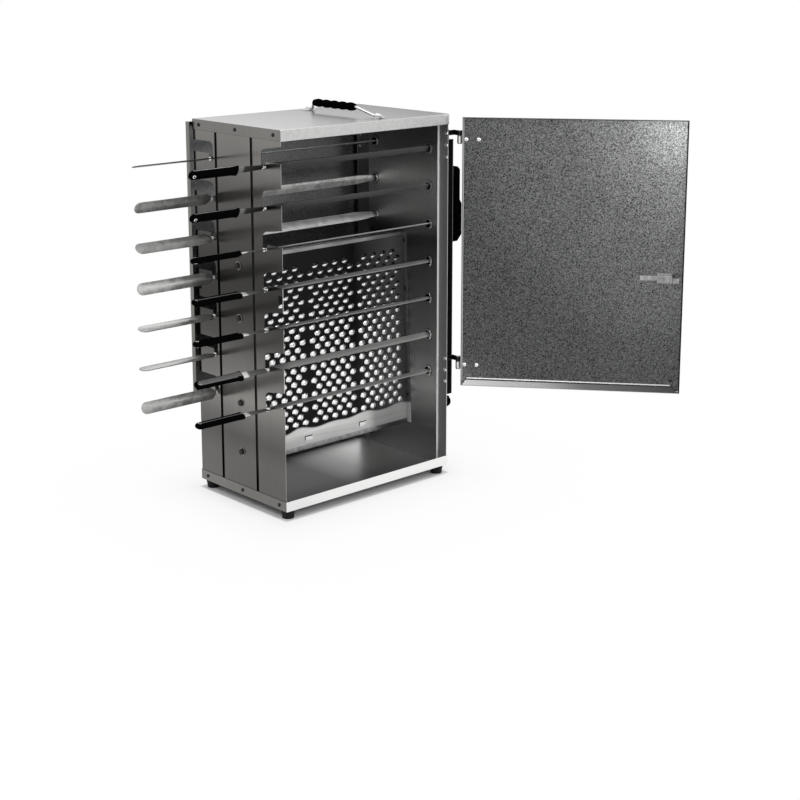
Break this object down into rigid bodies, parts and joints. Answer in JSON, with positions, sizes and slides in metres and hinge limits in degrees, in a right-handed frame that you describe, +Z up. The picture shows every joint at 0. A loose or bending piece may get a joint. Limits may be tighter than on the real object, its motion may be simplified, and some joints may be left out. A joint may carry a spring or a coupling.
{
  "type": "upright skewer grill",
  "caption": "Upright gas skewer grill in folded steel with a perforated wedge burner, two tray doors, turning skewers and a swinging lid handle.",
  "frame": {"origin": "on the floor under the middle of the cabinet, in the plane of the four foot soles", "axes": "+X to the side with the gas valve, +Y to the rear door, +Z up"},
  "size_m": [0.8663, 0.6471, 0.7444],
  "materials": {
    "brushed_steel": "brushed",
    "bright_steel": "fine brushed",
    "coated_sheet": "spangled satin",
    "burner_sheet": "bright rolled",
    "skewer_steel": "polished",
    "bright_fittings": "bright",
    "brass": "satin",
    "black_plastic": "matte",
    "black_rubber": "matte"
  },
  "bodies": {
    "cabinet": {"lid": "bright_steel", "bottom_pan": "bright_steel", "feet": "black_rubber", "left_front_strip": "brushed_steel", "left_centre_strip": "brushed_steel", "left_rear_strip": "brushed_steel", "right_wall": "brushed_steel", "right_liner": "brushed_steel", "socket_eyelets": "bright_fittings", "side_guard": "brushed_steel", "side_grip": "black_plastic", "burner_front_plate": "burner_sheet", "burner_rear_plate": "burner_sheet", "burner_end_plate": "burner_sheet", "burner_cap": "burner_sheet", "burner_base": "burner_sheet", "burner_tube": "brushed_steel", "burner_fixings": "bright_fittings", "mixing_cap": "brushed_steel", "supply_pipe": "brass", "gas_valve": "brass", "gas_inlet": "brass", "cabinet_screws": "bright_fittings", "hinge_brackets": "bright_fittings", "handle_saddles": "bright_fittings"},
    "lid_handle": {"handle_rod": "bright_fittings", "handle_grip": "black_plastic"},
    "gas_tap": {"valve_stem": "bright_fittings", "gas_knob": "black_plastic"},
    "front_door_set": {"front_door": "coated_sheet", "front_door_leaves": "bright_fittings", "front_latch_keeper": "bright_fittings"},
    "front_latch_set": {"front_latch_bolt": "bright_fittings", "front_latch_pull": "black_plastic"},
    "rear_door_set": {"rear_door": "coated_sheet", "rear_door_leaves": "bright_fittings", "rear_latch_keeper": "bright_fittings"},
    "rear_latch_set": {"rear_latch_bolt": "bright_fittings", "rear_latch_pull": "black_plastic"},
    "front_spit_7": {"front_skewer_7": "skewer_steel", "front_skewer_handle_7": "black_plastic"},
    "rear_spit_7": {"rear_skewer_7": "skewer_steel"},
    "front_spit_6": {"front_skewer_6": "skewer_steel", "front_skewer_handle_6": "black_plastic"},
    "rear_spit_6": {"rear_skewer_6": "skewer_steel"},
    "front_spit_5": {"front_skewer_5": "skewer_steel", "front_skewer_handle_5": "black_plastic"},
    "rear_spit_5": {"rear_skewer_5": "skewer_steel"},
    "front_spit_4": {"front_skewer_4": "skewer_steel", "front_skewer_handle_4": "black_plastic"},
    "rear_spit_4": {"rear_skewer_4": "skewer_steel"},
    "front_spit_3": {"front_skewer_3": "skewer_steel", "front_skewer_handle_3": "black_plastic"},
    "rear_spit_3": {"rear_skewer_3": "skewer_steel"},
    "front_spit_2": {"front_skewer_2": "skewer_steel", "front_skewer_handle_2": "black_plastic"},
    "rear_spit_2": {"rear_skewer_2": "skewer_steel"},
    "front_spit_1": {"front_skewer_1": "skewer_steel", "front_skewer_handle_1": "black_plastic"},
    "rear_spit_1": {"rear_skewer_1": "skewer_steel"}
  },
  "joints": [
    {"name": "lid_handle_swing", "type": "hinge", "parent": "cabinet", "child": "lid_handle", "pos_m": [0.051, 0, 0.7211], "axis": [0, 1, 0], "range_deg": [0, 108]},
    {"name": "gas_knob_turn", "type": "hinge", "parent": "cabinet", "child": "gas_tap", "pos_m": [0.23, -0.0925, 0.134], "axis": [1, 0, 0], "range_deg": [0, 90]},
    {"name": "front_door_hinge", "type": "hinge", "parent": "cabinet", "child": "front_door_set", "pos_m": [0.22, -0.145, 0.4455], "axis": [0, 0, 1], "range_deg": [-129.2, 50.8]},
    {"name": "front_latch_slide", "type": "slide", "parent": "front_door_set", "child": "front_latch_set", "axis": [0.632, -0.7749, 0], "range_m": [0, 0.008]},
    {"name": "rear_door_hinge", "type": "hinge", "parent": "cabinet", "child": "rear_door_set", "pos_m": [0.22, 0.145, 0.4455], "axis": [0, 0, 1], "range_deg": [-180, 0]},
    {"name": "rear_latch_slide", "type": "slide", "parent": "rear_door_set", "child": "rear_latch_set", "axis": [-1, 0, 0], "range_m": [0, 0.008]},
    {"name": "front_skewer_turn_7", "type": "hinge", "parent": "cabinet", "child": "front_spit_7", "pos_m": [0, -0.081, 0.2023], "axis": [1, 0, 0], "continuous": true},
    {"name": "rear_skewer_turn_7", "type": "hinge", "parent": "cabinet", "child": "rear_spit_7", "pos_m": [0, 0.0755, 0.2023], "axis": [1, 0, 0], "continuous": true},
    {"name": "front_skewer_turn_6", "type": "hinge", "parent": "cabinet", "child": "front_spit_6", "pos_m": [0, -0.081, 0.2765], "axis": [1, 0, 0], "continuous": true},
    {"name": "rear_skewer_turn_6", "type": "hinge", "parent": "cabinet", "child": "rear_spit_6", "pos_m": [0, 0.0755, 0.2765], "axis": [1, 0, 0], "continuous": true},
    {"name": "front_skewer_turn_5", "type": "hinge", "parent": "cabinet", "child": "front_spit_5", "pos_m": [0, -0.081, 0.3507], "axis": [1, 0, 0], "continuous": true},
    {"name": "rear_skewer_turn_5", "type": "hinge", "parent": "cabinet", "child": "rear_spit_5", "pos_m": [0, 0.0755, 0.3507], "axis": [1, 0, 0], "continuous": true},
    {"name": "front_skewer_turn_4", "type": "hinge", "parent": "cabinet", "child": "front_spit_4", "pos_m": [0, -0.081, 0.4249], "axis": [1, 0, 0], "continuous": true},
    {"name": "rear_skewer_turn_4", "type": "hinge", "parent": "cabinet", "child": "rear_spit_4", "pos_m": [0, 0.0755, 0.4249], "axis": [1, 0, 0], "continuous": true},
    {"name": "front_skewer_turn_3", "type": "hinge", "parent": "cabinet", "child": "front_spit_3", "pos_m": [0, -0.081, 0.4991], "axis": [1, 0, 0], "continuous": true},
    {"name": "rear_skewer_turn_3", "type": "hinge", "parent": "cabinet", "child": "rear_spit_3", "pos_m": [0, 0.0755, 0.4991], "axis": [1, 0, 0], "continuous": true},
    {"name": "front_skewer_turn_2", "type": "hinge", "parent": "cabinet", "child": "front_spit_2", "pos_m": [0, -0.081, 0.5733], "axis": [1, 0, 0], "continuous": true},
    {"name": "rear_skewer_turn_2", "type": "hinge", "parent": "cabinet", "child": "rear_spit_2", "pos_m": [0, 0.0755, 0.5733], "axis": [1, 0, 0], "continuous": true},
    {"name": "front_skewer_turn_1", "type": "hinge", "parent": "cabinet", "child": "front_spit_1", "pos_m": [0, -0.081, 0.6475], "axis": [1, 0, 0], "continuous": true},
    {"name": "rear_skewer_turn_1", "type": "hinge", "parent": "cabinet", "child": "rear_spit_1", "pos_m": [0, 0.0755, 0.6475], "axis": [1, 0, 0], "continuous": true}
  ]
}
